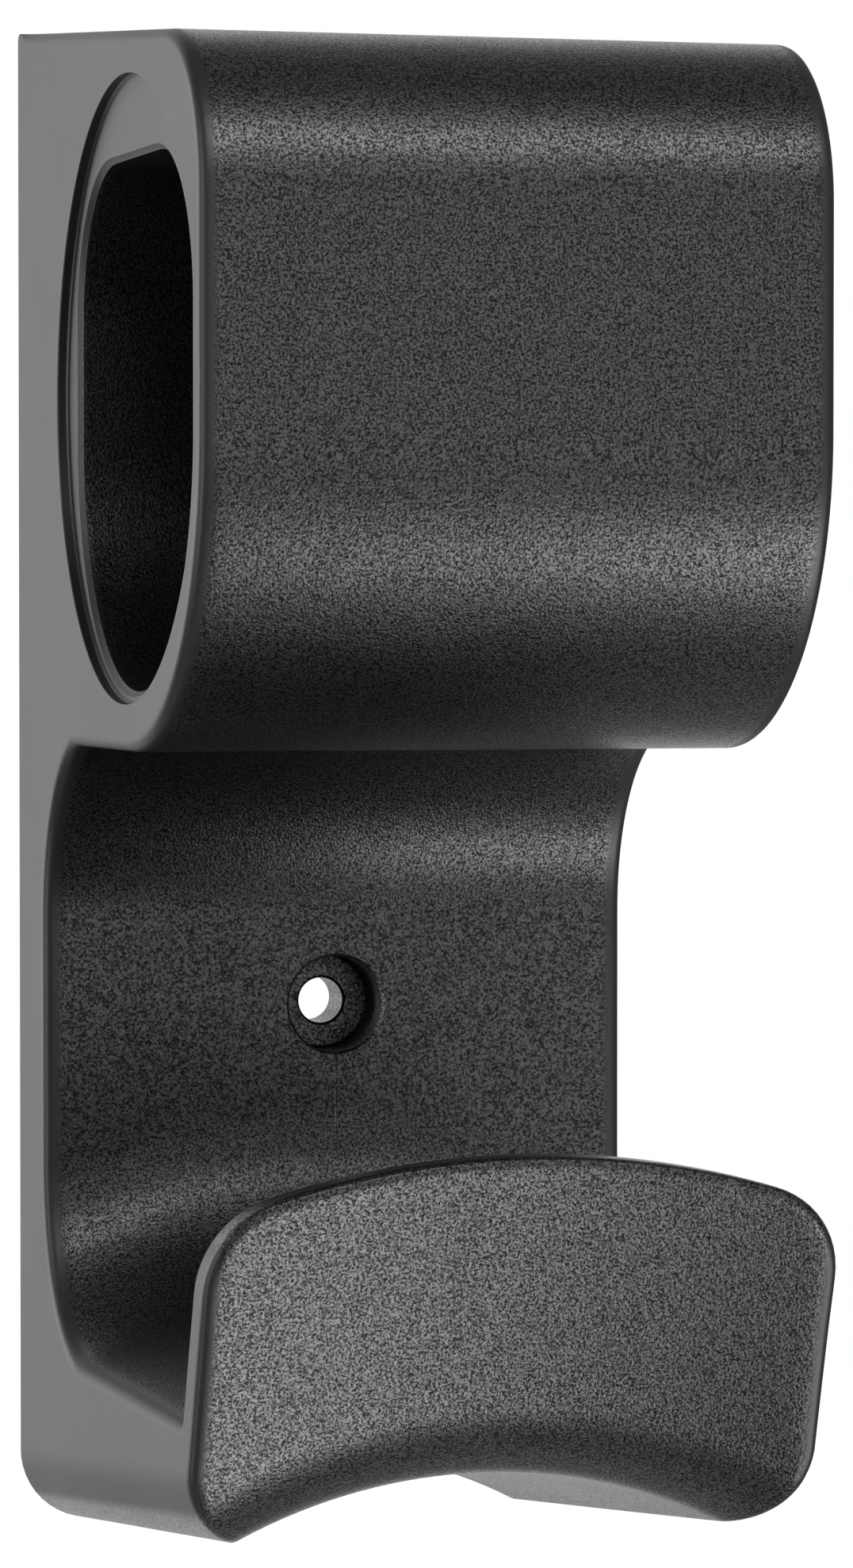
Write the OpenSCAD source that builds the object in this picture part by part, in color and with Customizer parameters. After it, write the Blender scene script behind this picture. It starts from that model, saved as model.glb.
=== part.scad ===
// Wall holder for the connector and cable of an electric car charger, moulded in one piece.
// The connector's nose is parked sideways in the barrel, and the coiled cable hangs on the hook below.
// Frame: X along the wall, Y out of the room into the wall, Z up. The wall is the plane Y = 0 and the
// screw's axis is the Y axis. In the flat drawings below, "out" is the distance from the wall.

/* [Body] */
// Width across the two side faces
body_w = 70.8; // [68:0.2:75]
// Height of the top face above the screw, at the wall
top_z = 115; // [112:0.5:118]
// Fall of the top face towards the front, in degrees
top_fall = 4.8; // [4:0.2:6]
// Thickness of the outer walls
wall_t = 3.5; // [2.5:0.1:3.5]

/* [Barrel] */
// Distance of the barrel's front from the wall
barrel_out = 91.6; // [90:0.2:93]
// Height of the socket's centre above the screw
socket_z = 65.7; // [64:0.1:67]
// Distance of the socket's centre behind the barrel's, towards the wall
socket_set = 1.4; // [0:0.1:2]
// Radius of the barrel's round underside
barrel_r = 34.6; // [34.4:0.1:36]
// Radius between the barrel's top and its front
brow_r = 18.5; // [16:0.5:20]

/* [Socket] */
// Radius of the socket's round lower half
socket_r = 28; // [27:0.1:28.2]
// Height of the socket, from its lowest point to its flat top
socket_h = 58.8; // [57:0.2:60]
// Radius of the two corners under the flat top
socket_corner_r = 17; // [12:0.5:20]
// Thickness of the wall that closes the socket's far end
socket_end_t = 3.5; // [2.5:0.1:5]
// Radius of the shallow round recess that the connector's collar sits in
collar_r = 34.6; // [32:0.1:34.8]
// Depth of that recess
collar_t = 1.3; // [0.8:0.1:2]

/* [Neck] */
// Thickness of the neck, from the wall to its front face
neck_out = 13.5; // [12:0.1:15]
// Radius of the hollow curve between the neck and the barrel
throat_r = 21.5; // [20:0.1:22]

/* [Screw] */
// Diameter of the hole for the screw's shank
shank_d = 5.4; // [4.5:0.1:6]
// Diameter of the pocket for the screw's head
head_d = 11.4; // [10:0.1:12]
// Depth of that pocket
head_t = 7; // [5:0.1:8]
// Diameter of the boss round the hole, on the hidden side
boss_d = 18; // [15:0.5:20]

/* [Hook] */
// Height of the axis that the hook's curves go round, below the screw
saddle_drop = 110; // [108:1:112]
// Radius of the floor that the cable lies on
floor_r = 78.2; // [77:0.1:79]
// Radius of the arched underside, at the wall
arch_r = 54.6; // [54:0.1:56]
// Rise of the underside towards the front, in degrees
arch_rise = 6.2; // [5:0.1:7]
// Radius of the top edge of the lip
lip_r = 99; // [96:0.5:101]
// Distance of the foot of the lip from the wall
lip_out = 82.2; // [80:0.1:84]
// Lean of the lip towards the front, in degrees
lip_lean = 20; // [18:0.5:22]
// Thickness of the lip
lip_t = 5.1; // [4.5:0.1:5.5]
// Radius of the lip's two upper corners
lip_corner_r = 10.5; // [8:0.5:12]
// Radius of the hollow curve between the neck and the floor
heel_r = 19.5; // [18:0.1:20]
// Radius between the lip's front and the underside
chin_r = 12.5; // [11:0.1:13]
// Radius of the lower side corners
foot_corner_r = 8.5; // [8:0.1:9]
// Height of the feet below the screw, at the wall
foot_drop = 61.6; // [61:0.1:62.5]

/* [Ribs] */
// Thickness of the ribs on the hidden side
rib_t = 2.5; // [2:0.1:3]
// Number of upright ribs
rib_count = 3; // [3:2:5]

/* [Hidden] */
$fn = 96;

plastic = [0.13, 0.13, 0.135];
barrel_axis = barrel_out - barrel_r;
socket_out = barrel_axis - socket_set;
brow_out = barrel_out - brow_r;
brow_z = top_z - tan(top_fall) * brow_out - brow_r / cos(top_fall);
socket_top = socket_z - socket_r + socket_h;
corner_in = socket_r - socket_corner_r;
collar_out = barrel_axis - 0.8;
collar_z = socket_z + 5.2;
throat_out = neck_out + throat_r;
throat_z = 10.7;
far = 140;
past = 1;
arc_step = 6;
corner_shift = 0.06;
cell_count = rib_count + 1;
cell_w = (body_w - 2 * wall_t - rib_count * rib_t) / cell_count;

// The chin's centre lies one radius inside the underside and one inside the lip's front.
lip_front = lip_out + lip_t / cos(lip_lean);
chin_a = chin_r + arch_r * cos(arch_rise);
chin_b = chin_r + floor_r * sin(lip_lean) - lip_front * cos(lip_lean);
chin_c = cos(arch_rise + lip_lean);
chin_radius = (chin_a * cos(lip_lean) - chin_b * sin(arch_rise)) / chin_c;
chin_out = (chin_a * sin(lip_lean) - chin_b * cos(arch_rise)) / chin_c;

// Points along an arc of radius r about c, from angle a to angle b.
function arc(c, r, a, b) =
    let (n = ceil(abs(b - a) / arc_step))
    [for (i = [0 : n]) let (t = a + (b - a) * i / n) c + r * [cos(t), sin(t)]];

// Stands a side view, drawn as distance from the wall and height, across the width w.
module across(w) {
    rotate([90, 0, -90]) linear_extrude(w, center = true) children();
}

// Stands a front view, drawn along X and Z, from the wall to a distance.
module outwards(from, to) {
    rotate([90, 0, 0]) translate([0, 0, from]) linear_extrude(to - from) children();
}

// Turns a section, drawn as radius and distance from the wall, about the saddle's axis.
module saddle() {
    translate([0, 0, -saddle_drop]) rotate([90, 0, 0]) rotate_extrude() children();
}

// Side view of the barrel. A depth t below the skin gives the hollow inside it.
module barrel_side(t = 0) {
    top_tangent = [brow_out + (brow_r - t) * sin(top_fall), brow_z + (brow_r - t) * cos(top_fall)];
    back = t > 0 ? -past : 0;
    translate([barrel_axis, socket_z]) circle(barrel_r - t);
    translate([brow_out, brow_z]) circle(brow_r - t);
    polygon([
        [back, socket_z - barrel_r + t],
        [barrel_axis, socket_z - barrel_r + t],
        [barrel_axis + barrel_r - t, socket_z],
        [barrel_axis + barrel_r - t, brow_z],
        top_tangent,
        [back, top_tangent[1] + (top_tangent[0] - back) * tan(top_fall)],
    ]);
}

// Side view of the neck, with the hollow curve that runs up into the barrel.
module neck_side(t = 0) {
    back = t > 0 ? -past : 0;
    under_z = socket_z - barrel_r + t;
    translate([back, -saddle_drop / 3]) square([neck_out - t - back, saddle_drop / 3 + under_z + past]);
    difference() {
        translate([back, throat_z]) square([throat_out - back, under_z + past - throat_z]);
        translate([throat_out, throat_z]) circle(throat_r + t);
    }
}

// Section of the hook, from the saddle's axis outwards: underside, chin, lip, floor and heel.
module hook_section(t = 0) {
    back = t > 0 ? -past : 0;
    lean = tan(lip_lean);
    front_at = lip_front - t / cos(lip_lean) - lean * floor_r;
    foot_r = floor_r - t;
    heel = [floor_r + heel_r, neck_out + heel_r];
    polygon(concat(
        [[arch_r + t / cos(arch_rise) + tan(arch_rise) * back, back]],
        arc([chin_radius, chin_out], chin_r - t, 180 - arch_rise, 90 + lip_lean),
        t > 0
            ? [[foot_r, front_at + lean * foot_r]]
            : [[lip_r, front_at + lean * lip_r], [lip_r, lip_out + lean * (lip_r - floor_r)], [floor_r, lip_out]],
        arc(heel, heel_r + t, 180, 270),
        [[heel[0], back]]
    ));
}

// Front view of everything above the feet, with round lower corners.
module foot_outline(t = 0) {
    half = body_w / 2 - t;
    corner = [body_w / 2 - foot_corner_r, foot_corner_r - foot_drop];
    right = arc(corner, foot_corner_r - t, -90, 0);
    left = [for (i = [len(right) - 1 : -1 : 0]) [-right[i][0], right[i][1]]];
    polygon(concat(right, [[half, far], [-half, far]], left));
}

// Front view of what the lip's round corner takes away on the right. The corner meets the top edge at a
// few degrees, so that the two faces cross cleanly.
module lip_corner() {
    reach = lip_r - lip_corner_r + corner_shift;
    x = body_w / 2 - lip_corner_r;
    tilt = acos(x / reach);
    corner = [x, reach * sin(tilt) - saddle_drop];
    away = 2 * lip_corner_r;
    polygon(concat(
        arc(corner, lip_corner_r, tilt, 0),
        [corner + [away, 0], corner + [away, away], corner + away * [cos(tilt), sin(tilt)]]
    ));
}

// The hook: a saddle section, cut to the width, the feet and the lip's corners.
module hook_mass(t = 0) {
    difference() {
        intersection() {
            saddle() hook_section(t);
            rotate([-arch_rise, 0, 0]) outwards(-far / 2, far) foot_outline(t);
        }
        if (t == 0) for (side = [0, 1]) mirror([side, 0, 0]) outwards(far / 2, far) lip_corner();
    }
}

// Side view of the socket, wider by a margin m.
module socket_side(m = 0) {
    translate([socket_out, socket_z]) circle(socket_r + m);
    for (side = [-1, 1]) {
        translate([socket_out + side * corner_in, socket_top - socket_corner_r]) circle(socket_corner_r + m);
    }
    translate([socket_out - socket_r - m, socket_z])
        square([2 * (socket_r + m), socket_top - socket_corner_r - socket_z]);
    translate([socket_out - corner_in, socket_z]) square([2 * corner_in, socket_top - socket_z + m]);
}

// Side view of the hollow behind and above the socket, as a core pulled straight out of the back leaves it.
module hollow_side() {
    difference() {
        union() {
            barrel_side(wall_t);
            neck_side(wall_t);
        }
        socket_side(wall_t);
        translate([socket_out, socket_z - far / 2]) square([far, socket_top + wall_t - socket_z + far / 2]);
    }
}

// The hollows between the ribs, open at the wall.
module hollows() {
    difference() {
        intersection() {
            union() {
                across(body_w) hollow_side();
                hook_mass(wall_t);
            }
            for (i = [0 : cell_count - 1]) {
                x = (i - (cell_count - 1) / 2) * (cell_w + rib_t);
                translate([x - cell_w / 2, -far, -far / 2]) cube([cell_w, 2 * far, 2 * far]);
            }
        }
        outwards(-far / 2, neck_out) circle(d = boss_d);
    }
}

// The screw's hole, with a pocket for its head.
module screw_hole() {
    outwards(-past, neck_out) circle(d = shank_d);
    outwards(neck_out - head_t, neck_out + past) circle(d = head_d);
}

// The connector's socket, blind and open to the left, with the shallow recess for its collar.
module socket() {
    translate([-(socket_end_t + past) / 2, 0, 0]) across(body_w - socket_end_t + past) socket_side();
    translate([-body_w / 2, 0, 0]) across(2 * collar_t) translate([collar_out, collar_z]) circle(collar_r);
}

// The whole moulding.
module holder() {
    color(plastic) difference() {
        union() {
            across(body_w) {
                barrel_side();
                neck_side();
            }
            hook_mass();
        }
        hollows();
        socket();
        screw_hole();
    }
}

holder();
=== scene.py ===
# Wall holder for the connector and the cable of an electric car charger.
# One moulding: a barrel with a sideways socket, a neck with one screw hole, and a saddle hook.
# The outer skin is one mesh of rows that run from side to side. Each row is an arc about the
# saddle's axis or a straight line, and every row ends in the radius that softens the side edges.
# In the flat drawings "out" is the distance from the wall, so that Y is -out.
import math

import bmesh
import bpy
import numpy as np
from bpy.props import BoolProperty, FloatProperty, FloatVectorProperty, IntProperty, PointerProperty
from bpy.types import Operator, Panel, PropertyGroup
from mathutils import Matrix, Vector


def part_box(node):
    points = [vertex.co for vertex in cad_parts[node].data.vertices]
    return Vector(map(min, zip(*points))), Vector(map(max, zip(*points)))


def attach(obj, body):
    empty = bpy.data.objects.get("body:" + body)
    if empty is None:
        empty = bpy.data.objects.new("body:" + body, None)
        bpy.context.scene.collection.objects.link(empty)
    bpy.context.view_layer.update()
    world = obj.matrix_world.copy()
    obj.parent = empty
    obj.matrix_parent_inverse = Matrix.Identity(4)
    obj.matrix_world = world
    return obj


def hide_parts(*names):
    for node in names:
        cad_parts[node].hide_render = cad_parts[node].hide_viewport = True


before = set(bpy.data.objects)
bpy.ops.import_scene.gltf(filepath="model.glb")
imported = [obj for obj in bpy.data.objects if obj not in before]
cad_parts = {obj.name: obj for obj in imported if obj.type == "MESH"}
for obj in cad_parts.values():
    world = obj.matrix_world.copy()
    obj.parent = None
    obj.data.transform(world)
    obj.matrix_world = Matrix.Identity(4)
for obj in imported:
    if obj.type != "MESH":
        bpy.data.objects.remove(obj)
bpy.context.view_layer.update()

bl_info = {
    "name": "Connector holder",
    "version": (1, 0, 0),
    "blender": (4, 5, 0),
    "location": "3D View > Sidebar > Holder",
    "description": "Builds a wall holder for a charging connector and its cable",
    "category": "Add Mesh",
}

NODE_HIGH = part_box("holder")[1]

# Faces from the middle to a side edge, round that edge, and on the side face beside it.
BELT_STEPS = 16
ROUND_STEPS = 6
SUPPORT_STEPS = 12
# Lengths of the faces along the hook, up the lip, along the barrel and inside the back.
HOOK_STEP = 0.005
LIP_STEP = 0.0011
BARREL_STEP = 0.006
HOLLOW_STEP = 0.006
# How far the cutting solids reach past the wall's plane, and past a side face.
PAST = 0.001
CLEAR = 0.004
# How far inside a side face the grain starts to fade, and where it is gone.
GRAIN_FADES = 0.0026
GRAIN_ENDS = 0.0014
WHITE = (1.0, 1.0, 1.0, 1.0)


# ---------------------------------------------------------------- values

def length(name, text, default):
    """A size in metres that the sidebar shows with its unit."""
    return FloatProperty(name=name, description=text, default=default, min=0.0, precision=5,
                         subtype="DISTANCE", unit="LENGTH")


def fraction(name, text, default):
    """A part of one, from 0 to 1."""
    return FloatProperty(name=name, description=text, default=default, min=0.0, max=1.0,
                         subtype="FACTOR")


def slope(name, text, degrees):
    """An angle that the sidebar shows in degrees."""
    return FloatProperty(name=name, description=text, default=math.radians(degrees),
                         subtype="ANGLE", unit="ROTATION")


def tint(name, text, default):
    """A linear colour."""
    return FloatVectorProperty(name=name, description=text, default=default, size=3,
                               min=0.0, max=1.0, subtype="COLOR")


class HolderSizes(PropertyGroup):
    """Sizes of the moulding."""
    half_width: length("Half width", "From the middle to a side face", round(NODE_HIGH.x, 6))
    top_height: length("Top height", "Height of the top face at the wall", round(NODE_HIGH.z, 6))
    top_fall: slope("Top fall", "Fall of the top face towards the front", 4.8)
    barrel_reach: length("Barrel reach", "From the wall to the barrel's front", 0.0916)
    barrel_radius: length("Barrel radius", "Radius of the barrel's round underside", 0.0346)
    brow_radius: length("Brow radius", "Radius between the barrel's top and its front", 0.0185)
    socket_height: length("Socket centre", "Height of the socket's centre above the screw", 0.0657)
    socket_set: length("Socket set", "From the barrel's centre back to the socket's", 0.0014)
    socket_radius: length("Socket radius", "Radius of the socket's round lower half", 0.028)
    socket_flat: length("Socket flat", "Height of the socket's flat top above its centre", 0.0308)
    socket_corner: length("Socket corner", "Radius of the socket's two upper corners", 0.017)
    socket_mouth: length("Socket mouth", "Radius on the edge of the socket's mouth", 0.0006)
    end_wall: length("End wall", "Thickness of the wall at the socket's closed end", 0.0035)
    recess_radius: length("Recess radius", "Radius of the shallow round recess", 0.0346)
    recess_depth: length("Recess depth", "Depth of the shallow round recess", 0.0013)
    neck_reach: length("Neck reach", "Thickness of the neck", 0.0135)
    throat_radius: length("Throat radius", "Radius of the curve between neck and barrel", 0.0215)
    throat_height: length("Throat height", "Height of that curve's centre", 0.0107)
    saddle_drop: length("Saddle drop", "Depth of the saddle's axis below the screw", 0.110)
    floor_radius: length("Floor radius", "Radius of the saddle's floor", 0.0782)
    arch_radius: length("Arch radius", "Radius of the arched underside at the wall", 0.0546)
    arch_rise: slope("Arch rise", "Rise of the underside towards the front", 6.2)
    lip_radius: length("Lip radius", "Radius of the lip's top edge", 0.099)
    lip_reach: length("Lip reach", "From the wall to the foot of the lip", 0.0822)
    lip_lean: slope("Lip lean", "Lean of the lip towards the front", 20.0)
    lip_thickness: length("Lip thickness", "Thickness of the lip", 0.0051)
    lip_corner: length("Lip corner", "Radius of the lip's two upper corners", 0.0105)
    lip_foot: length("Lip foot", "Radius of the curve between lip and floor", 0.0016)
    heel_radius: length("Heel radius", "Radius of the curve between neck and floor", 0.0195)
    chin_radius: length("Chin radius", "Radius between the lip's front and the underside", 0.0125)
    foot_corner: length("Foot corner", "Radius of the lower side corners", 0.0085)
    foot_drop: length("Foot drop", "Depth of the feet below the screw at the wall", 0.0616)
    edge_radius: length("Edge radius", "Radius on the side edges and on the lip", 0.0015)
    wall_edge: length("Wall edge", "Radius on the edges at the wall", 0.0003)
    top_edge: length("Top edge", "Radius of the top face's edge at the wall", 0.0012)
    side_draft: length("Side draft", "How much narrower each side is at the front", 0.0003)
    wall_thickness: length("Wall thickness", "Thickness of the outer walls", 0.0035)
    rib_thickness: length("Rib thickness", "Thickness of the ribs in the open back", 0.0025)
    rib_count: IntProperty(name="Ribs", description="Number of upright ribs in the open back",
                           default=3, min=1, max=5)
    boss_radius: length("Boss radius", "Radius of the boss round the screw", 0.009)
    shank_radius: length("Shank radius", "Radius of the hole for the screw", 0.0027)
    head_radius: length("Head radius", "Radius of the pocket for the screw's head", 0.0057)
    head_depth: length("Head depth", "Depth of that pocket", 0.007)


class HolderLooks(PropertyGroup):
    """Colours and grain of the plastic."""
    plastic: tint("Plastic", "Colour of the black plastic", (0.008, 0.008, 0.0082))
    # Painted highlight: the paler colour of the grain's tops, also used for random tone in clouds.
    tops_highlight_and_tone: tint("Bloom", "Paler colour of the grain's tops", (0.016, 0.016, 0.0163))
    grain_size: length("Grain size", "Width of one grain of the eroded surface", 0.00029)
    grain_depth: length("Grain depth", "Height of the grain on the front", 0.00011)
    front_roughness: fraction("Front roughness", "Roughness of the grained faces", 0.30)
    side_roughness: fraction("Side roughness", "Roughness of the smooth side faces", 0.44)
    top_gloss: fraction("Top gloss", "Extra gloss on the tops of the grain", 1.0)
    # Painted shade: this darkens the grain's hollows through Metallic on the dark colour.
    hollow_shade: fraction("Hollow shade", "How little the hollows of the grain shine", 0.92)
    weld_line: BoolProperty(name="Weld line", default=True,
                            description="Show the fine line where the melt met below the screw")
    floor: tint("Floor", "Colour of the floor", (0.9, 0.9, 0.9))


# ---------------------------------------------------------------- node helpers

class Wire:
    """A number that flows through a node tree and can be used in sums."""

    def __init__(self, board, socket):
        self.board = board
        self.socket = socket

    def _sum(self, operation, first, second):
        return self.board.add("ShaderNodeMath", {"operation": operation}, {0: first, 1: second})

    def __add__(self, other):
        return self._sum("ADD", self, other)

    def __radd__(self, other):
        return self._sum("ADD", other, self)

    def __sub__(self, other):
        return self._sum("SUBTRACT", self, other)

    def __rsub__(self, other):
        return self._sum("SUBTRACT", other, self)

    def __mul__(self, other):
        return self._sum("MULTIPLY", self, other)

    def __rmul__(self, other):
        return self._sum("MULTIPLY", other, self)


class Board:
    """Adds nodes to one tree and joins them up."""

    def __init__(self, tree):
        self.tree = tree
        tree.nodes.clear()

    def add(self, kind, settings=None, sockets=None, out=0):
        """Adds a node, sets it, fills its sockets with values or wires, and gives one output."""
        node = self.tree.nodes.new(kind)
        for name, value in (settings or {}).items():
            setattr(node, name, value)
        for name, value in (sockets or {}).items():
            if isinstance(value, Wire):
                self.tree.links.new(value.socket, node.inputs[name])
            else:
                node.inputs[name].default_value = value
        return Wire(self, node.outputs[out]) if node.outputs else node

    def parts(self, vector):
        """The three parts of a vector."""
        node = self.add("ShaderNodeSeparateXYZ", sockets={0: vector}).socket.node
        return [Wire(self, socket) for socket in node.outputs]

    def ramp(self, value, low, high):
        """Rises smoothly from 0 at low to 1 at high."""
        return self.add("ShaderNodeMapRange", {"interpolation_type": "SMOOTHSTEP"},
                        {"Value": value, "From Min": low, "From Max": high})

    def near(self, value, low, high):
        """Falls smoothly from 1 within low of zero to 0 at high, on either side."""
        return 1 - self.ramp(self.size(value), low, high)

    def least(self, first, second):
        """The smaller of two numbers."""
        return self.add("ShaderNodeMath", {"operation": "MINIMUM"}, {0: first, 1: second})

    def size(self, value):
        """A number without its sign."""
        return self.add("ShaderNodeMath", {"operation": "ABSOLUTE"}, {0: value})

    def noise(self, place, scale, detail, roughness):
        """Soft random spots, so many to the metre."""
        return self.add("ShaderNodeTexNoise", sockets={
            "Vector": place, "Scale": scale, "Detail": detail, "Roughness": roughness})


def weld_height(board, place, wander):
    """Height of the weld line on the neck, and of the mark that ends it at the screw's pocket."""
    across, depth, height = board.parts(place)
    neck = board.ramp(depth, -0.0150, -0.0137)
    # The line runs from 6 mm below the screw's axis to 20 mm below it, and wanders a little.
    stretch = board.ramp(height, -0.0061, -0.0066) * board.ramp(height, -0.0215, -0.0195)
    line = board.near(across + 0.00008 * (wander - 0.5), 0.00003, 0.00016)
    # The mark is level, under 10 mm long, and touches the pocket's lowest point.
    mark = board.near(height + 0.00595, 0.00004, 0.0002)
    mark_ends = board.near(across + 0.0004, 0.0044, 0.0052)
    return (0.9 * line * stretch - 0.35 * mark * mark_ends) * neck


def plastic_material(looks, half_width):
    """Black plastic: eroded grain on the front, finer and smoother on the side faces."""
    material = bpy.data.materials.new("black_plastic")
    material.use_nodes = True
    board = Board(material.node_tree)
    place = board.add("ShaderNodeTexCoord", out=3)
    across = board.size(board.parts(place)[0])
    side = board.ramp(across, half_width - GRAIN_FADES, half_width - GRAIN_ENDS)
    front = 1 - side

    # Two sizes of grain and rounder pits between them. A side face keeps a sixth of their height.
    grain = 1 / looks.grain_size
    coarse = board.noise(place, grain, 2.0, 0.55)
    fine = board.noise(place, 2.3 * grain, 1.0, 0.5)
    pits = board.add("ShaderNodeTexVoronoi", {"feature": "SMOOTH_F1"}, {
        "Vector": place, "Scale": 0.9 * grain, "Smoothness": 0.4})
    surface = (0.6 * coarse + 0.25 * fine + 0.3 * pits) * (0.16 + 0.84 * front)
    if looks.weld_line:
        surface = surface + weld_height(board, place, coarse)
    bump = board.add("ShaderNodeBump", sockets={
        "Strength": 1.0, "Distance": looks.grain_depth, "Height": surface})

    # The grain's tops get a paler colour as a painted highlight, and a glossier coat; its hollows
    # get painted shade from Metallic on the dark colour; colour and roughness also wander in wide
    # soft clouds.
    clouds = board.noise(place, 38.0, 3.0, 0.6)
    mixed = 0.62 * coarse + 0.38 * fine
    tops = board.ramp(mixed, 0.49, 0.59) * front
    # Painted shade in the grain's hollows: they take Metallic on the dark colour below.
    shaded_hollows = (1 - board.ramp(mixed, 0.41, 0.51)) * front
    # Painted highlight: the tops take the paler colour; the clouds add random tone to it.
    colour = board.add("ShaderNodeMix", {"data_type": "RGBA"}, {
        "Factor": 0.7 * tops + 0.2 * clouds, "A": (*looks.plastic, 1.0),
        "B": (*looks.tops_highlight_and_tone, 1.0)}, out=2)
    roughness = (looks.front_roughness * front + looks.side_roughness * side
                 + 0.08 * (clouds - 0.5))
    # Metallic paints shade into the hollows; the coat on the tops is real gloss.
    skin = board.add("ShaderNodeBsdfPrincipled", sockets={
        "Base Color": colour, "Roughness": roughness, "Normal": bump, "IOR": 1.5,
        "Metallic": looks.hollow_shade * shaded_hollows, "Coat Weight": looks.top_gloss * tops,
        "Coat Roughness": 0.3})
    board.add("ShaderNodeOutputMaterial", sockets={"Surface": skin})
    return material


# ---------------------------------------------------------------- flat drawings

def arc(centre, radius, start, end, steps):
    """Points along an arc, with the angles in degrees."""
    turns = np.radians(np.linspace(start, end, steps + 1))
    return [(centre[0] + radius * math.cos(t), centre[1] + radius * math.sin(t)) for t in turns]


def rounded(corner, before, after, steps):
    """Points of a small round corner between two points beside it."""
    corner, before, after = (np.array(p, float) for p in (corner, before, after))
    shares = np.linspace(0.0, 1.0, steps + 1)[:, None]
    return (1 - shares) ** 2 * before + 2 * shares * (1 - shares) * corner + shares ** 2 * after


def between(start, end, step):
    """Points from start to end about a step apart, both ends included."""
    start, end = np.array(start, float), np.array(end, float)
    count = max(1, int(round(np.linalg.norm(end - start) / step)))
    return [tuple(start + (end - start) * i / count) for i in range(count + 1)]


def unit(vector):
    """A vector of length one that points the same way."""
    vector = np.asarray(vector, float)
    return vector / max(np.linalg.norm(vector), 1e-12)


class Form:
    """The derived sizes of the holder, shared by its skin and its hollow."""

    def __init__(self, sizes):
        self.s = sizes
        self.half = sizes.half_width
        self.drop = sizes.saddle_drop
        self.lean = math.tan(sizes.lip_lean)
        self.rise = math.tan(sizes.arch_rise)
        self.lip_front = sizes.lip_reach + sizes.lip_thickness / math.cos(sizes.lip_lean)
        self.barrel_axis = sizes.barrel_reach - sizes.barrel_radius
        self.socket_out = self.barrel_axis - sizes.socket_set
        self.under_z = sizes.socket_height - sizes.barrel_radius
        self.brow_out = sizes.barrel_reach - sizes.brow_radius
        self.brow_z = (sizes.top_height - math.tan(sizes.top_fall) * self.brow_out
                       - sizes.brow_radius / math.cos(sizes.top_fall))
        # The chin's centre lies one radius inside the underside and one inside the lip's front.
        a, b = sizes.arch_rise, sizes.lip_lean
        first = sizes.chin_radius + sizes.arch_radius * math.cos(a)
        second = sizes.chin_radius + sizes.floor_radius * math.sin(b) - self.lip_front * math.cos(b)
        self.chin = ((first * math.cos(b) - second * math.sin(a)) / math.cos(a + b),
                     (first * math.sin(b) - second * math.cos(a)) / math.cos(a + b))
        self.heel = (sizes.floor_radius + sizes.heel_radius, sizes.neck_reach + sizes.heel_radius)
        self.throat = (sizes.neck_reach + sizes.throat_radius, sizes.throat_height)
        self.foot_in = self.half - sizes.foot_corner
        self.foot_turn = self.foot_in + sizes.foot_corner * math.pi / 2
        lip_in = self.half - sizes.lip_corner
        reach = sizes.lip_radius - sizes.lip_corner
        self.lip_centre = np.array([lip_in, math.sqrt(reach ** 2 - lip_in ** 2)])
        self.lip_turn = math.acos(lip_in / reach)

    def front(self, radius, inset=0.0):
        """Reach of the lip's front face at a saddle radius."""
        return (self.lip_front - inset / math.cos(self.s.lip_lean)
                + self.lean * (radius - self.s.floor_radius))

    def inner(self, radius):
        """Reach of the lip's inner face at a saddle radius."""
        return self.s.lip_reach + self.lean * (radius - self.s.floor_radius)

    def foot(self, along, out):
        """A point under the foot: along the flat, round its corner, then up the side face."""
        radius = self.s.foot_corner
        turn = min(max((along - self.foot_in) / radius, 0.0), math.pi / 2)
        rest = along - self.foot_in - radius * turn
        x = self.foot_in + radius * math.sin(turn) + min(rest, 0.0)
        z = -self.s.foot_drop + radius * (1 - math.cos(turn)) + max(rest, 0.0)
        return np.array([x, out, out * self.rise + z / math.cos(self.s.arch_rise)])

    def foot_height(self, x, out, inset=0.0):
        """Height of the foot's surface at a distance from the middle."""
        radius = self.s.foot_corner - inset
        over = min(max((x - self.foot_in) / radius, 0.0), 1.0)
        z = inset - self.s.foot_drop + radius * (1 - math.sqrt(1 - over * over))
        return out * self.rise + z / math.cos(self.s.arch_rise)


class Row:
    """One line of the skin from side to side.

    A saddle row is an arc about the saddle's axis: first is its radius, second its reach. A plain
    row is straight: first is its reach, second its height. A row ends on the side face, the round
    foot, the lip's round corner or the lip's top edge.
    """

    def __init__(self, form, saddle, first, second, round_size, end="side", turn=0.0):
        self.form = form
        self.saddle = saddle
        self.first = float(first)
        self.second = float(second)
        self.round_size = round_size
        self.end = end
        self.turn = turn
        self.meet = None
        self.way = None
        self.along = None

    def at(self, x):
        """The point of the row at a distance from the middle, as x, out and height."""
        if self.saddle:
            return np.array([x, self.second, math.sqrt(self.first ** 2 - x * x) - self.form.drop])
        return np.array([x, self.first, self.second])

    def on_front(self):
        """Whether a row of the lip lies on its front rather than on its inner face."""
        return self.second > self.form.inner(self.first) + 1e-4


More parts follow.
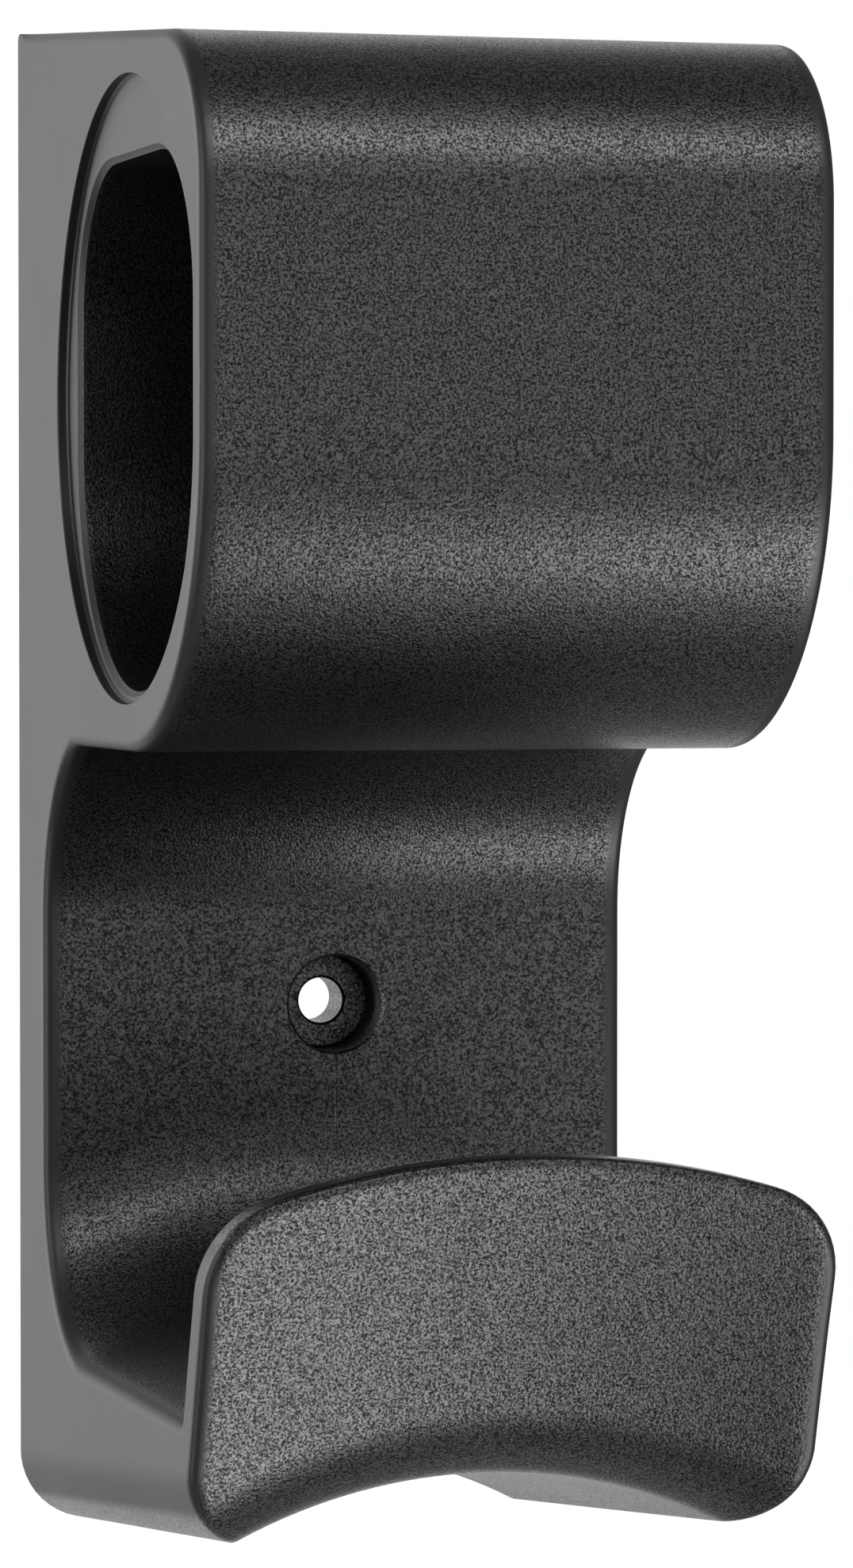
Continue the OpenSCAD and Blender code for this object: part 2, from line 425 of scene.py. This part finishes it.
def hook_rows(form):
    """The rows of the hook, from the wall under it, over the lip and back to the neck."""
    s = form.s
    edge = s.edge_radius
    rows = []

    def saddle(points, **rest):
        rows.extend(Row(form, True, r, out, edge, **rest) for r, out in points)

    chin = arc(form.chin, s.chin_radius, 180 - math.degrees(s.arch_rise),
               90 + math.degrees(s.lip_lean), 20)
    saddle(between((s.arch_radius, 0.0), chin[0], HOOK_STEP)[:-1])
    saddle(chin)

    # The lip's front, up to its round corner, then the rows that end on that corner.
    turns = np.linspace(0.0, form.lip_turn, 13)
    inside = s.lip_corner - edge
    radii = [np.linalg.norm(form.lip_centre + inside * np.array([math.cos(t), math.sin(t)]))
             for t in turns]
    up = [r for r, _ in between((chin[-1][0], 0.0), (radii[0] - 0.0009, 0.0), LIP_STEP)[1:]]
    saddle([(r, form.front(r)) for r in up])
    for turn, r in zip(turns, radii):
        saddle([(r, form.front(r))], end="corner", turn=turn)

    # The lip's top edge: a round, half of the flat, and the same again down the inner side.
    tip_front, tip_inner = form.front(s.lip_radius), form.inner(s.lip_radius)
    front_round = rounded((s.lip_radius, tip_front), (radii[-1], form.front(radii[-1])),
                          (s.lip_radius, tip_front - edge), ROUND_STEPS)[1:]
    inner_round = rounded((s.lip_radius, tip_inner), (radii[-1], form.inner(radii[-1])),
                          (s.lip_radius, tip_inner + edge), ROUND_STEPS)[1:]
    step = support_step(edge)
    flats = [step * (i + 1) for i in range(SUPPORT_STEPS)]
    saddle(front_round, end="top")
    saddle([(s.lip_radius, tip_front - edge - f) for f in flats], end="top")
    saddle([(s.lip_radius, tip_inner + edge + f) for f in reversed(flats)], end="top")
    saddle(inner_round[::-1], end="top")
    for turn, r in zip(turns[::-1], radii[::-1]):
        saddle([(r, form.inner(r))], end="corner", turn=turn)

    # Down the lip's inner face, over the floor and up the heel to the neck.
    foot = s.lip_foot / math.tan(math.pi / 4 + s.lip_lean / 2)
    above = (s.floor_radius + foot * math.cos(s.lip_lean),
             s.lip_reach + foot * math.sin(s.lip_lean))
    foot_round = rounded((s.floor_radius, s.lip_reach), above,
                         (s.floor_radius, s.lip_reach - foot), ROUND_STEPS)
    down = [r for r in up[::-1] if r > foot_round[0][0] + 0.0004]
    saddle([(r, form.inner(r)) for r in down])
    saddle(foot_round)
    heel = arc(form.heel, s.heel_radius, 180, 270, 26)
    saddle(between(foot_round[-1], heel[0], HOOK_STEP)[1:-1])
    saddle(heel)
    return rows


def barrel_rows(form):
    """The rows of the neck, the throat, the barrel, its top face and the edges at the wall."""
    s = form.s
    rows = []

    def plain(points, size=s.edge_radius):
        rows.extend(Row(form, False, out, z, size) for out, z in points)

    neck_heights = (-0.0106, -0.0090, 0.0090)
    angle = math.degrees(math.asin((form.under_z - s.throat_height) / s.throat_radius))
    throat = arc(form.throat, s.throat_radius, 180, 180 - angle, 22)
    crease = throat[-1]
    crease_size = 0.0012
    bend = rounded(crease, throat[-2], (crease[0] + crease_size, crease[1]), 4)
    arc_low = arc((form.barrel_axis, s.socket_height), s.barrel_radius, -90, 0, 30)
    arc_high = arc((form.brow_out, form.brow_z), s.brow_radius,
                   0, 90 - math.degrees(s.top_fall), 24)
    plain([(s.neck_reach, z) for z in neck_heights])
    plain(throat[:-2])
    plain(bend)
    plain(between(bend[-1], arc_low[0], BARREL_STEP)[1:-1])
    plain(arc_low)
    plain(between(arc_low[-1], arc_high[0], BARREL_STEP)[1:-1])
    plain(arc_high)

    # Over the last 4 mm to the wall the side edge's radius shrinks to a fine one.
    fine = 0.35 * s.wall_edge
    fall = math.tan(s.top_fall)
    shrinks = ((0.004, 0.8), (0.003, 0.55), (0.0022, 0.35), (0.0015, 0.2))
    near = [(out, s.top_height - fall * out) for out, _ in shrinks]
    plain(between(arc_high[-1], near[0], BARREL_STEP)[1:-1])
    for point, (_, part) in zip(near, shrinks):
        plain([point], fine + (s.edge_radius - fine) * part)
    plain(rounded((0.0, s.top_height), (s.top_edge, s.top_height - fall * s.top_edge),
                  (0.0, s.top_height - s.top_edge), 5), fine)
    wall_heights = (0.100, 0.060, 0.020, -0.020, -0.040, form.foot(form.foot_turn, 0.0)[2] + 0.0012)
    plain([(0.0, z) for z in wall_heights], fine)
    return rows


def support_step(round_size):
    """Spacing of the fine lines beside a rounded edge."""
    return 0.028 * round_size


def foot_end(form, row):
    """Moves the end of a row that would pass below the foot to where it meets the foot."""
    inside, outside = 0.0, form.half
    for _ in range(60):
        x = 0.5 * (inside + outside)
        over = row.at(x)[2] - form.foot_height(x, row.second)
        inside, outside = (x, outside) if over > 0 else (inside, x)
    row.meet = row.at(inside)
    over = min(max((inside - form.foot_in) / form.s.foot_corner, 0.0), 1.0)
    row.along = min(inside, form.foot_in) + form.s.foot_corner * math.asin(over)
    row.end = "foot"


def set_ends(form, rows):
    """Sets where each row meets the side, and the way that the side's surface leaves it."""
    s = form.s
    for row in rows:
        if row.end == "corner":
            x = form.lip_centre[0] + s.lip_corner * math.cos(row.turn)
            z = form.lip_centre[1] + s.lip_corner * math.sin(row.turn)
            surface = form.front if row.on_front() else form.inner
            row.meet = np.array([x, surface(math.hypot(x, z)), z - form.drop])
        elif row.end == "top":
            row.meet = row.at(row.first * math.cos(form.lip_turn))
        else:
            row.meet = row.at(form.half)
            under = row.saddle and row.first < s.floor_radius
            if under and row.meet[2] < form.foot_height(form.half, row.second):
                foot_end(form, row)

    count = len(rows)
    tip = form.lip_centre[1] - form.drop
    for i, row in enumerate(rows):
        before, after = rows[i - 1], rows[(i + 1) % count]
        if row.end == "foot":
            low = before if before.along is not None else row
            high = after if after.along is not None else row
            move = unit((high.along - low.along, high.meet[1] - low.meet[1]))
            turned = row.second > form.chin[1] + 1e-5
            row.way = np.array([move[1], -move[0]]) if turned else np.array([1.0, 0.0])
        elif row.end == "side":
            move = after.meet[1:] - before.meet[1:]
            row.way = unit((-move[1], move[0]))
            if row.saddle and row.meet[1] > s.lip_reach - 1e-4:
                # The lip's rows turn level over the last millimetres below its round corner.
                part = min(max((tip - row.meet[2]) / 0.006, 0.0), 1.0)
                level = np.array([-1.0 if row.on_front() else 1.0, 0.0])
                row.way = unit((1 - part) * level + part * row.way)


def side_point(form, row, distance):
    """A point on the side surface, at a distance from the row's end."""
    if row.end == "foot":
        return form.foot(row.along + distance * row.way[0], row.meet[1] + distance * row.way[1])
    if row.end == "corner":
        return row.meet + np.array([0.0, -distance if row.on_front() else distance, 0.0])
    return row.meet + np.array([0.0, distance * row.way[0], distance * row.way[1]])


def right_half(form, row):
    """The points of a row from the middle to its right end, then round its edge and beside it."""
    if row.end == "top":
        return [row.at(row.meet[0] * i / BELT_STEPS) for i in range(BELT_STEPS + 1)]
    setback = row.round_size
    if row.end == "corner":
        inner_x = form.lip_centre[0] + (form.s.lip_corner - setback) * math.cos(row.turn)
    else:
        nudge = 2e-5
        inward = unit(row.at(row.meet[0] - nudge) - row.meet)
        side = unit(side_point(form, row, nudge) - row.meet)
        turn = math.pi - math.acos(max(-1.0, min(1.0, float(inward @ side))))
        setback = max(row.round_size * math.tan(turn / 2), nudge)
        inner_x = row.meet[0] - setback * abs(inward[0])
    points = [row.at(inner_x * i / BELT_STEPS) for i in range(BELT_STEPS + 1)]
    start = side_point(form, row, setback)
    points.extend(rounded(row.meet, points[-1], start, ROUND_STEPS)[1:])
    step = support_step(row.round_size)
    if row.end == "foot":
        first = np.array([row.along, row.meet[1]]) + setback * row.way
        last = np.array([max(form.foot_turn, first[0]) + 0.5 * SUPPORT_STEPS * step,
                         first[1] + SUPPORT_STEPS * step * row.way[1]])
        for i in range(1, SUPPORT_STEPS + 1):
            points.append(form.foot(*(first + (last - first) * i / SUPPORT_STEPS)))
    else:
        for i in range(1, SUPPORT_STEPS + 1):
            points.append(side_point(form, row, setback + step * i))
    return points


def mesh_object(name, points, faces, material=None):
    """A mesh object from points given as x, out and height."""
    mesh = bpy.data.meshes.new(name)
    mesh.from_pydata([(x, -out, z) for x, out, z in points], [], faces)
    if material is not None:
        mesh.materials.append(material)
    mesh.validate()
    work = bmesh.new()
    work.from_mesh(mesh)
    bmesh.ops.remove_doubles(work, verts=work.verts, dist=1e-7)
    bmesh.ops.recalc_face_normals(work, faces=work.faces)
    work.to_mesh(mesh)
    work.free()
    thing = bpy.data.objects.new(name, mesh)
    bpy.context.scene.collection.objects.link(thing)
    return thing


def skin_grid(form, rows):
    """All points of the skin, and for each row the number of its point in each column."""
    points, grid = [], []
    for row in rows:
        line = {}
        for column, (x, out, z) in enumerate(right_half(form, row)):
            forward = min(max(out / form.s.barrel_reach, 0.0), 1.0)
            x *= 1 - form.s.side_draft / form.half * forward
            for side in ((1, -1) if column else (1,)):
                line[side * column] = len(points)
                points.append((side * x, out, z))
        grid.append(line)
    return points, grid


def build_skin(form, material):
    """The outer skin as one closed mesh."""
    rows = hook_rows(form) + barrel_rows(form)
    set_ends(form, rows)
    points, grid = skin_grid(form, rows)

    # The rows beside the lip's top edge run on round the ends of its rows.
    beyond = ROUND_STEPS + SUPPORT_STEPS
    whole = BELT_STEPS + beyond
    tops = [i for i, row in enumerate(rows) if row.end == "top"]
    for j in range(beyond):
        for side in (1, -1):
            grid[tops[0] - 1][side * (BELT_STEPS + 1 + j)] = grid[tops[j]][side * BELT_STEPS]
            grid[tops[-1] + 1][side * (BELT_STEPS + 1 + j)] = grid[tops[-1 - j]][side * BELT_STEPS]
    faces = []
    count = len(rows)
    for i in range(count):
        here, there = grid[i], grid[(i + 1) % count]
        reach = BELT_STEPS if "top" in (rows[i].end, rows[(i + 1) % count].end) else whole
        for c in range(-reach, reach):
            faces.append((here[c], here[c + 1], there[c + 1], there[c]))

    # Each side is closed by strips across the lip's round corner and one flat face.
    corners = [i for i, row in enumerate(rows) if row.end == "corner"]
    fronts, inners = corners[:len(corners) // 2], corners[len(corners) // 2:][::-1]
    for side in (1, -1):
        for (f0, f1), (i0, i1) in zip(zip(fronts, fronts[1:]), zip(inners, inners[1:])):
            faces.append((grid[f0][side * whole], grid[f1][side * whole],
                          grid[i1][side * whole], grid[i0][side * whole]))
        skip = set(fronts[1:]) | set(inners[1:]) | set(tops)
        faces.append([grid[i][side * whole] for i in range(count) if i not in skip])
    return mesh_object("holder_body", points, faces, material)


def loft(name, sections):
    """A closed solid through sections of equal point counts."""
    count = len(sections[0])
    points = [p for section in sections for p in section]
    faces = [list(range(count)), list(range(len(points) - count, len(points)))]
    for k in range(len(sections) - 1):
        for i in range(count):
            j = (i + 1) % count
            faces.append((k * count + i, k * count + j, (k + 1) * count + j, (k + 1) * count + i))
    return mesh_object(name, points, faces)


def build_hollow(form):
    """The space inside the walls, open at the wall, as one core that is pulled straight out."""
    s = form.s
    t = s.wall_thickness
    foot_r = s.floor_radius - t
    before_chin, before_corner = 0.004, 0.002
    neck_low = -0.006
    hook = [(s.arch_radius + t / math.cos(s.arch_rise) + form.rise * out, out)
            for out in np.linspace(-PAST, form.chin[1] - before_chin, 8)]
    hook += arc(form.chin, s.chin_radius - t, 180 - math.degrees(s.arch_rise),
                90 + math.degrees(s.lip_lean), 12)
    hook.append((foot_r, form.front(foot_r, t)))
    hook += between((foot_r, form.front(foot_r, t) - before_corner),
                    (foot_r, form.heel[1] + before_corner), HOLLOW_STEP)
    hook += arc(form.heel, s.heel_radius + t, 180, 270, 16)
    top_out = form.brow_out + (s.brow_radius - t) * math.sin(s.top_fall)
    top_z = form.brow_z + (s.brow_radius - t) * math.cos(s.top_fall)
    under = form.under_z + t
    sleeve = s.socket_radius + t
    throat = s.throat_radius + t
    turn = math.degrees(math.asin((under - s.throat_height) / throat))
    start = -math.degrees(math.acos((s.socket_height - under) / sleeve)) + 270
    upper = (form.socket_out - s.socket_radius + s.socket_corner,
             s.socket_height + s.socket_flat - s.socket_corner)
    roof = s.socket_height + s.socket_flat + t
    brow = math.degrees(math.asin((roof - form.brow_z) / (s.brow_radius - t)))
    plain = [(s.neck_reach - t, neck_low)] + arc(form.throat, throat, 180, 180 - turn, 14)
    plain += arc((form.socket_out, s.socket_height), sleeve, start, 180, 16)
    plain += arc(upper, s.socket_corner + t, 180, 90, 10)
    plain += arc((form.brow_out, form.brow_z), s.brow_radius - t,
                 brow, 90 - math.degrees(s.top_fall), 10)
    plain += [(-PAST, top_z + (top_out + PAST) * math.tan(s.top_fall))]
    reach = form.half - t
    sections = []
    for x in np.linspace(-reach, reach, 33):
        line = []
        for r, out in hook:
            z = math.sqrt(r * r - x * x) - form.drop
            if r < foot_r:
                z = max(z, form.foot_height(abs(x), max(out, 0.0), t))
            line.append((x, out, z))
        sections.append(line + [(x, out, z) for out, z in plain])
    return loft("core", sections)


def build_socket(form):
    """The socket with a softened mouth and a softened far end."""
    s = form.s
    mouth = s.socket_mouth
    floor_x = s.recess_depth - form.half
    end_x = form.half - s.end_wall
    soft = 0.0008
    corner_in = s.socket_radius - s.socket_corner
    high = s.socket_height + s.socket_flat - s.socket_corner

    def outline(x, m):
        line = arc((form.socket_out, s.socket_height), s.socket_radius + m, 180, 360, 64)
        line += arc((form.socket_out + corner_in, high), s.socket_corner + m, 0, 90, 20)
        line += arc((form.socket_out - corner_in, high), s.socket_corner + m, 90, 180, 20)
        return [(x, out, z) for out, z in line]

    sections = [outline(-form.half - CLEAR, mouth)]
    for t in np.radians(np.linspace(0, 90, 7)):
        sections.append(outline(floor_x + mouth * math.sin(t), mouth * (1 - math.sin(t))))
    for t in np.radians(np.linspace(0, 90, 5)):
        sections.append(outline(end_x - soft * (1 - math.sin(t)), -soft * (1 - math.cos(t))))
    return loft("socket", sections)


def build_recess(form):
    """The shallow round recess for the connector's collar."""
    s = form.s
    set_back, rise = 0.0008, 0.0052
    centre = (form.barrel_axis - set_back, s.socket_height + rise)
    floor_x = s.recess_depth - form.half
    soft = 0.0002
    steps = [(-form.half - CLEAR, CLEAR), (-form.half - soft, 2 * soft), (-form.half + soft, 0.0),
             (floor_x - soft, 0.0), (floor_x, -soft)]
    rings = [(x, arc(centre, s.recess_radius + m, 0, 360, 160)[:-1]) for x, m in steps]
    return loft("recess", [[(x, out, z) for out, z in ring] for x, ring in rings])


def turned(name, steps):
    """A round solid about the screw's axis, from pairs of distance from the wall and radius."""
    turns = np.linspace(0, 2 * math.pi, 72, endpoint=False)
    return loft(name, [[(r * math.cos(t), out, r * math.sin(t)) for t in turns]
                       for out, r in steps])


def build_bore(form):
    """The screw's hole and the pocket for its head."""
    s = form.s
    soft = 0.0003
    flare = 0.002
    shoulder = s.neck_reach - s.head_depth
    return turned("bore", [
        (-PAST, s.shank_radius), (shoulder - soft, s.shank_radius),
        (shoulder, s.shank_radius + soft), (shoulder, s.head_radius - soft),
        (shoulder + soft, s.head_radius), (s.neck_reach - soft, s.head_radius),
        (s.neck_reach, s.head_radius + soft),
        (s.neck_reach + flare, s.head_radius + soft + flare)])


def build_boss(form):
    """The round boss that carries the screw."""
    r = form.s.boss_radius
    return turned("boss", [(-CLEAR, r), (form.s.neck_reach - PAST, r)])


def rib_tree(material):
    """Geometry nodes: upright ribs side by side, evenly spaced about the middle."""
    tree = bpy.data.node_groups.new("upright_ribs", "GeometryNodeTree")
    names = {}
    for name, kind in (("Count", "NodeSocketInt"), ("Pitch", "NodeSocketFloat"),
                       ("Thickness", "NodeSocketFloat"), ("Depth", "NodeSocketFloat"),
                       ("Height", "NodeSocketFloat")):
        names[name] = tree.interface.new_socket(name, in_out="INPUT", socket_type=kind).identifier
    tree.interface.new_socket("Geometry", in_out="OUTPUT", socket_type="NodeSocketGeometry")
    board = Board(tree)
    inputs = board.add("NodeGroupInput").socket.node
    count, pitch, thickness, depth, height = [Wire(board, inputs.outputs[n]) for n in names]
    start = board.add("ShaderNodeCombineXYZ", sockets={0: -0.5 * pitch * (count - 1)})
    step = board.add("ShaderNodeCombineXYZ", sockets={0: pitch})
    line = board.add("GeometryNodeMeshLine", sockets={
        "Count": count, "Start Location": start, "Offset": step})
    extent = board.add("ShaderNodeCombineXYZ", sockets={0: thickness, 1: depth, 2: height})
    plate = board.add("GeometryNodeMeshCube", sockets={"Size": extent})
    ribs = board.add("GeometryNodeInstanceOnPoints", sockets={"Points": line, "Instance": plate})
    real = board.add("GeometryNodeRealizeInstances", sockets={"Geometry": ribs})
    named = board.add("GeometryNodeSetMaterial", sockets={"Geometry": real, "Material": material})
    board.add("NodeGroupOutput", sockets={"Geometry": named})
    return tree, names


def baked(thing):
    """Turns an object's modifiers into its own mesh."""
    bpy.context.view_layer.update()
    seen = thing.evaluated_get(bpy.context.evaluated_depsgraph_get())
    mesh = bpy.data.meshes.new_from_object(seen)
    thing.modifiers.clear()
    thing.data = mesh
    return thing


def build_ribs(form, material):
    """The ribs as a plain mesh, made by their geometry nodes."""
    s = form.s
    inner_width = 2 * (form.half - s.wall_thickness)
    cell = (inner_width - s.rib_count * s.rib_thickness) / (s.rib_count + 1)
    tree, names = rib_tree(material)
    ribs = bpy.data.objects.new("ribs", bpy.data.meshes.new("ribs"))
    bpy.context.scene.collection.objects.link(ribs)
    modifier = ribs.modifiers.new("ribs", "NODES")
    modifier.node_group = tree
    # The plates reach far past the core that they are taken out of.
    for name, value in (("Count", s.rib_count), ("Pitch", cell + s.rib_thickness),
                        ("Thickness", s.rib_thickness), ("Depth", 0.3), ("Height", 0.5)):
        modifier[names[name]] = value
    return baked(ribs)


def carve(body, tool):
    """Takes one solid out of another."""
    modifier = body.modifiers.new("carve", "BOOLEAN")
    modifier.operation = "DIFFERENCE"
    modifier.solver = "EXACT"
    modifier.object = tool
    before = len(body.data.polygons)
    baked(body)
    bpy.data.objects.remove(tool)
    if len(body.data.polygons) in (0, before):
        raise RuntimeError("a cut left the body as it was, or empty")


def smooth(body):
    """Smooth shading on curves, flat shading on plane faces, and sharp edges between them."""
    apart, level, crease = 2e-7, 0.99995, math.radians(24)
    work = bmesh.new()
    work.from_mesh(body.data)
    bmesh.ops.remove_doubles(work, verts=work.verts, dist=apart)
    bmesh.ops.dissolve_degenerate(work, edges=work.edges, dist=apart)
    for face in work.faces:
        face.smooth = max(abs(part) for part in face.normal) < level
    open_edges = [edge for edge in work.edges if len(edge.link_faces) != 2]
    work.to_mesh(body.data)
    work.free()
    if open_edges:
        print("open edges:", len(open_edges))
    body.data.set_sharp_from_angle(angle=crease)


# ---------------------------------------------------------------- operators

class HOLDER_OT_body(Operator):
    """Build the outer skin of the holder"""
    bl_idname = "holder.body"
    bl_label = "Body"

    def execute(self, context):
        sizes = context.scene.holder_sizes
        material = plastic_material(context.scene.holder_looks, sizes.half_width)
        body = build_skin(Form(sizes), material)
        if not body.data.polygons:
            raise RuntimeError("the skin has no faces")
        return {"FINISHED"}


class HOLDER_OT_back(Operator):
    """Hollow out the back and leave the ribs and the screw boss standing"""
    bl_idname = "holder.back"
    bl_label = "Ribbed back"

    def execute(self, context):
        body = bpy.data.objects["holder_body"]
        form = Form(context.scene.holder_sizes)
        core = build_hollow(form)
        carve(core, build_ribs(form, body.data.materials[0]))
        carve(core, build_boss(form))
        carve(body, core)
        return {"FINISHED"}


class HOLDER_OT_openings(Operator):
    """Cut the recess, the socket and the screw's hole"""
    bl_idname = "holder.openings"
    bl_label = "Openings"

    def execute(self, context):
        body = bpy.data.objects["holder_body"]
        form = Form(context.scene.holder_sizes)
        for build in (build_recess, build_socket, build_bore):
            carve(body, build(form))
        smooth(body)
        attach(body, "root")
        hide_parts("holder")
        return {"FINISHED"}


class HOLDER_OT_stage(Operator):
    """Set up the floor, the lamps, the world and the camera"""
    bl_idname = "holder.stage"
    bl_label = "Stage"

    def execute(self, context):
        scene = context.scene
        scene.view_settings.view_transform = "Standard"
        make_floor(scene.holder_looks)
        make_world(scene)
        make_lamps()
        make_camera(scene)
        return {"FINISHED"}


def make_floor(looks):
    """A plain pale floor well below the holder, which hangs on a wall."""
    material = bpy.data.materials.new("pale_floor")
    material.use_nodes = True
    board = Board(material.node_tree)
    # Seen straight on it mostly glows, so that it is as white as the backdrop and keeps a shadow.
    seen = board.add("ShaderNodeLightPath", out=0)
    glow, strength = 0.9, 1.12
    matt = board.add("ShaderNodeBsdfDiffuse", sockets={"Color": (*looks.floor, 1.0)})
    white = board.add("ShaderNodeEmission", sockets={"Color": WHITE, "Strength": strength})
    mixed = board.add("ShaderNodeMixShader", sockets={0: glow * seen, 1: matt, 2: white})
    board.add("ShaderNodeOutputMaterial", sockets={"Surface": mixed})
    reach, level = 12.0, -1.85
    corners = [(x * reach, y * reach, level) for x, y in ((-1, -1), (1, -1), (1, 1), (-1, 1))]
    mesh = bpy.data.meshes.new("floor")
    mesh.from_pydata(corners, [], [(0, 1, 2, 3)])
    mesh.materials.append(material)
    floor = bpy.data.objects.new("floor", mesh)
    bpy.context.scene.collection.objects.link(floor)


def make_world(scene):
    """White behind the holder and in its gloss, and a plain pale light from all round."""
    world = bpy.data.worlds.new("studio")
    world.use_nodes = True
    board = Board(world.node_tree)
    path = board.add("ShaderNodeLightPath").socket.node
    direct = Wire(board, path.outputs["Is Camera Ray"])
    gloss = Wire(board, path.outputs["Is Glossy Ray"])
    through = Wire(board, path.outputs["Is Transmission Ray"])
    # 1 is white to the camera. Matt surfaces get 0.15 of it and glossy ones 0.25.
    strength = 0.15 + 0.85 * board.least(direct + through, 1.0) + 0.1 * gloss
    light = board.add("ShaderNodeBackground", sockets={"Color": WHITE, "Strength": strength})
    board.add("ShaderNodeOutputWorld", sockets={"Surface": light})
    scene.world = world


def make_lamps():
    """Soft lamps in front and at the left, and a broad one behind for the lit white backdrop."""
    # Each has its place, the point that it faces, its width, its height and its power.
    lamps = (
        ("lamp_high", (0.14, -1.05, 0.93), (0.0, -0.05, 0.03), 1.10, 0.34, 9.5),
        ("lamp_low", (0.71, -0.89, -0.83), (0.0, -0.05, 0.03), 0.75, 0.54, 11.0),
        ("lamp_front", (0.30, -1.35, 0.03), (0.0, -0.05, 0.03), 1.20, 0.50, 2.8),
        ("lamp_left", (-1.16, -0.34, 0.03), (0.0, -0.05, 0.03), 0.24, 1.60, 7.5),
        ("lamp_left_behind", (-0.95, 0.90, 0.10), (0.0, -0.05, 0.03), 0.70, 0.90, 6.0),
        ("lamp_back", (-0.30, 1.60, 0.20), (0.0, 0.00, 0.03), 3.00, 3.00, 17.0),
    )
    for name, place, aim, wide, tall, power in lamps:
        data = bpy.data.lights.new(name, "AREA")
        data.shape = "RECTANGLE"
        data.size = wide
        data.size_y = tall
        data.energy = power
        lamp = bpy.data.objects.new(name, data)
        lamp.location = place
        way = np.array(aim) - np.array(place)
        flat = math.hypot(way[0], way[1])
        lamp.rotation_euler = (math.atan2(flat, -way[2]), 0.0, math.atan2(-way[0], way[1]))
        lamp.visible_camera = False
        bpy.context.scene.collection.objects.link(lamp)


def make_camera(scene):
    """A view from the front left, from a little above the screw."""
    focal, height = 7530, 1978
    data = bpy.data.cameras.new("camera")
    data.sensor_fit = "VERTICAL"
    data.sensor_height = 36.0
    data.lens = focal / height * data.sensor_height
    camera = bpy.data.objects.new("camera", data)
    camera.location = (-0.1798, -0.6974, 0.0467)
    camera.rotation_euler = (math.radians(90 - 1.67), 0.0, math.radians(-15.602))
    scene.collection.objects.link(camera)
    scene.camera = camera


class HOLDER_PT_panel(Panel):
    """Sizes, colours and steps of the holder"""
    bl_idname = "HOLDER_PT_panel"
    bl_label = "Connector holder"
    bl_space_type = "VIEW_3D"
    bl_region_type = "UI"
    bl_category = "Holder"

    def draw(self, context):
        layout = self.layout
        for group in (context.scene.holder_sizes, context.scene.holder_looks):
            column = layout.column(align=True)
            for name in group.__annotations__:
                column.prop(group, name)
        for operator in OPERATORS:
            layout.operator(operator.bl_idname)


OPERATORS = (HOLDER_OT_body, HOLDER_OT_back, HOLDER_OT_openings, HOLDER_OT_stage)
CLASSES = (HolderSizes, HolderLooks) + OPERATORS + (HOLDER_PT_panel,)


def register():
    """Registers the classes and puts the two groups of values on the scene."""
    for one in CLASSES:
        bpy.utils.register_class(one)
    bpy.types.Scene.holder_sizes = PointerProperty(type=HolderSizes)
    bpy.types.Scene.holder_looks = PointerProperty(type=HolderLooks)


def unregister():
    """Takes the values and the classes away again."""
    del bpy.types.Scene.holder_looks
    del bpy.types.Scene.holder_sizes
    for one in reversed(CLASSES):
        bpy.utils.unregister_class(one)


def main():
    """Builds the holder and its stage."""
    register()
    bpy.ops.holder.body()
    bpy.ops.holder.back()
    bpy.ops.holder.openings()
    bpy.ops.holder.stage()


if __name__ == "__main__":
    main()
